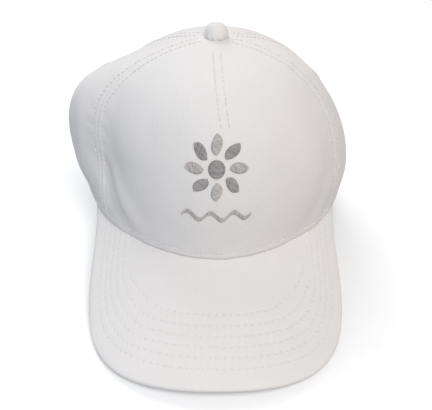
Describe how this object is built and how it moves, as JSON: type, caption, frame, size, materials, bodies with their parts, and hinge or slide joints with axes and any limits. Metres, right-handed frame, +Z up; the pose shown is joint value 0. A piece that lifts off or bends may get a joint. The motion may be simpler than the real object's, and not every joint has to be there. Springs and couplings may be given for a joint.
{
  "type": "baseball cap",
  "caption": "White structured baseball cap with a pinched front, curved stitched visor, cloth-covered button and plastic snap strap.",
  "frame": {"origin": "middle of the head opening, on the plane that the cap stands on, below the top button", "axes": "+X to the right of a person who faces the cap, -Y out through the visor, +Z up through the button"},
  "size_m": [0.1794, 0.2649, 0.1397],
  "materials": {
    "cap_cloth": "matte white cotton twill",
    "buckram": "stiff open-weave mesh, matte",
    "seam_tape": "matte white twill tape",
    "binding_tape": "matte white binding tape",
    "white_thread": "soft sheen polyester thread",
    "silver_thread": "satin-stitch rayon thread, silver grey with a sheen",
    "button_steel": "bare pressed steel",
    "visor_board": "smooth white polyethylene board",
    "sweatband_cloth": "soft brushed cotton twill",
    "foam": "thin white foam-backed felt",
    "label_cloth": "smooth white woven label",
    "strap_plastic": "semi-matte moulded white plastic"
  },
  "bodies": {
    "root": {"front_panel": "cap_cloth", "side_panel_left": "cap_cloth", "side_panel_right": "cap_cloth", "back_panel_left": "cap_cloth", "back_panel_right": "cap_cloth", "front_buckram": "buckram", "front_seam_tape_left": "seam_tape", "front_seam_tape_right": "seam_tape", "side_seam_tape_left": "seam_tape", "side_seam_tape_right": "seam_tape", "back_seam_tape": "seam_tape", "dart_tape": "seam_tape", "arch_binding": "binding_tape", "eyelet_stitching": "white_thread", "front_badge": "silver_thread", "button_cover": "cap_cloth", "button_shell": "button_steel", "button_prong": "button_steel", "button_backing": "button_steel", "visor_top_cover": "cap_cloth", "visor_board": "visor_board", "visor_under_cover": "cap_cloth", "sweatband": "sweatband_cloth", "sweatband_padding": "foam", "size_label": "label_cloth", "care_label": "label_cloth", "hole_strap_tab": "strap_plastic", "peg_strap_tab": "strap_plastic"},
    "hole_strap": {"hole_strap": "strap_plastic"},
    "peg_strap": {"peg_strap": "strap_plastic"}
  },
  "joints": [
    {"name": "hole_strap_swing", "type": "hinge", "parent": "root", "child": "hole_strap", "pos_m": [0.03709, 0.09609, 0], "axis": [0, 0, -1], "range_deg": [0, 75]},
    {"name": "peg_strap_swing", "type": "hinge", "parent": "root", "child": "peg_strap", "pos_m": [-0.0364, 0.09476, 0], "axis": [0, 0, -1], "range_deg": [0, 60]}
  ]
}
